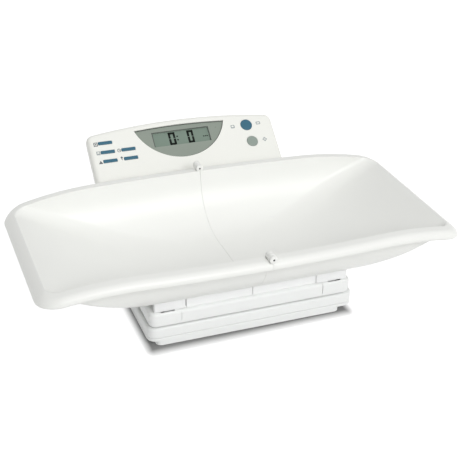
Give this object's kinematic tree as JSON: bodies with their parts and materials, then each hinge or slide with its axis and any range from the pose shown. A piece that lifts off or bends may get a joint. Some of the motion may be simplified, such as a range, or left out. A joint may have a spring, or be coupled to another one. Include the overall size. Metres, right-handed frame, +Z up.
{
  "type": "digital baby weighing scale",
  "caption": "Baby weighing scale with a folding curved tray on a load cell platform, and a tilted display head with keys on an arm behind it.",
  "frame": {"origin": "on the floor, under the middle of the whole scale; the rubber feet stand on z = 0 and the middle of the tray is at y = -0.0574 m", "axes": "+X to the right along the tray, +Y to the back towards the display head, +Z up"},
  "size_m": [0.622, 0.4327, 0.1901],
  "materials": {
    "tray_white": "satin moulded",
    "base_white": "satin moulded",
    "head_white": "satin moulded",
    "window_green": "tinted panel",
    "lcd_glass": "liquid crystal glass",
    "key_blue": "satin",
    "key_grey": "satin",
    "dark_rubber": "matt",
    "silicone": "translucent matt",
    "circuit_board": "solder mask",
    "zinc_steel": "zinc plated",
    "bar_aluminium": "machined",
    "dark_steel": "black oxide",
    "battery_jacket": "printed sleeve"
  },
  "bodies": {
    "base": {"base_bottom_cover": "base_white", "base_top_shell": "base_white", "rubber_feet": "dark_rubber", "base_screws": "zinc_steel", "chassis_plate": "zinc_steel", "load_cell": "bar_aluminium", "load_cell_spacer": "bar_aluminium", "load_cell_screws": "zinc_steel", "amplifier_board": "circuit_board", "display_front_shell": "head_white", "display_rear_shell": "head_white", "display_window": "window_green", "display_glass": "lcd_glass", "display_board": "circuit_board", "key_mats": "silicone", "display_screws": "zinc_steel", "battery_cells": "battery_jacket", "battery_contacts": "zinc_steel", "arm_front_shell": "base_white", "arm_rear_shell": "base_white", "arm_screws": "zinc_steel"},
    "platform": {"platform_top": "base_white", "platform_frame": "zinc_steel", "platform_screws": "zinc_steel", "load_cell_bracket": "zinc_steel", "bracket_screws": "zinc_steel", "cap_front_left": "base_white", "cap_front_right": "base_white", "cap_rear_left": "base_white", "cap_rear_right": "base_white"},
    "tray_left_half": {"tray_left": "tray_white", "tray_support_left": "tray_white", "tray_leg_front_left": "tray_white", "tray_leg_rear_left": "tray_white", "tray_screws_left": "zinc_steel"},
    "tray_right_half": {"tray_right": "tray_white", "tray_support_right": "tray_white", "tray_leg_front_right": "tray_white", "tray_leg_rear_right": "tray_white", "tray_screws_right": "zinc_steel", "hinge_pin_front": "dark_steel", "hinge_pin_rear": "dark_steel"},
    "battery_door": {"battery_door": "head_white"},
    "key_memory": {"key_memory": "key_blue"},
    "key_recall": {"key_recall": "key_blue"},
    "key_clear": {"key_clear": "key_blue"},
    "key_difference": {"key_difference": "key_blue"},
    "key_adjust": {"key_adjust": "key_blue"},
    "key_weight": {"key_weight": "key_blue"},
    "key_power": {"key_power": "key_grey"}
  },
  "joints": [
    {"name": "weighing_travel", "type": "slide", "parent": "base", "child": "platform", "axis": [0, 0, -1], "range_m": [0, 0.0004], "stiffness_N_per_m": 200000, "springref_m": -0.0003},
    {"name": "tray_lift_off", "type": "slide", "parent": "platform", "child": "tray_left_half", "axis": [0, 0, 1], "range_m": [0, 0.12]},
    {"name": "tray_fold", "type": "hinge", "parent": "tray_left_half", "child": "tray_right_half", "pos_m": [0, -0.0574, 0.1514], "axis": [0, -1, 0], "range_deg": [0, 175]},
    {"name": "battery_door_removal", "type": "slide", "parent": "base", "child": "battery_door", "axis": [0, 0.6414, -0.7672], "range_m": [0, 0.03]},
    {"name": "key_memory_press", "type": "slide", "parent": "base", "child": "key_memory", "axis": [0, 0.6414, -0.7672], "range_m": [0, 0.0008], "stiffness_N_per_m": 1500, "springref_m": -0.0003},
    {"name": "key_recall_press", "type": "slide", "parent": "base", "child": "key_recall", "axis": [0, 0.6414, -0.7672], "range_m": [0, 0.0008], "stiffness_N_per_m": 1500, "springref_m": -0.0003},
    {"name": "key_clear_press", "type": "slide", "parent": "base", "child": "key_clear", "axis": [0, 0.6414, -0.7672], "range_m": [0, 0.0008], "stiffness_N_per_m": 1500, "springref_m": -0.0003},
    {"name": "key_difference_press", "type": "slide", "parent": "base", "child": "key_difference", "axis": [0, 0.6414, -0.7672], "range_m": [0, 0.0008], "stiffness_N_per_m": 1500, "springref_m": -0.0003},
    {"name": "key_adjust_press", "type": "slide", "parent": "base", "child": "key_adjust", "axis": [0, 0.6414, -0.7672], "range_m": [0, 0.0008], "stiffness_N_per_m": 1500, "springref_m": -0.0003},
    {"name": "key_weight_press", "type": "slide", "parent": "base", "child": "key_weight", "axis": [0, 0.6414, -0.7672], "range_m": [0, 0.0008], "stiffness_N_per_m": 1500, "springref_m": -0.0003},
    {"name": "key_power_press", "type": "slide", "parent": "base", "child": "key_power", "axis": [0, 0.6414, -0.7672], "range_m": [0, 0.0008], "stiffness_N_per_m": 1500, "springref_m": -0.0003}
  ]
}
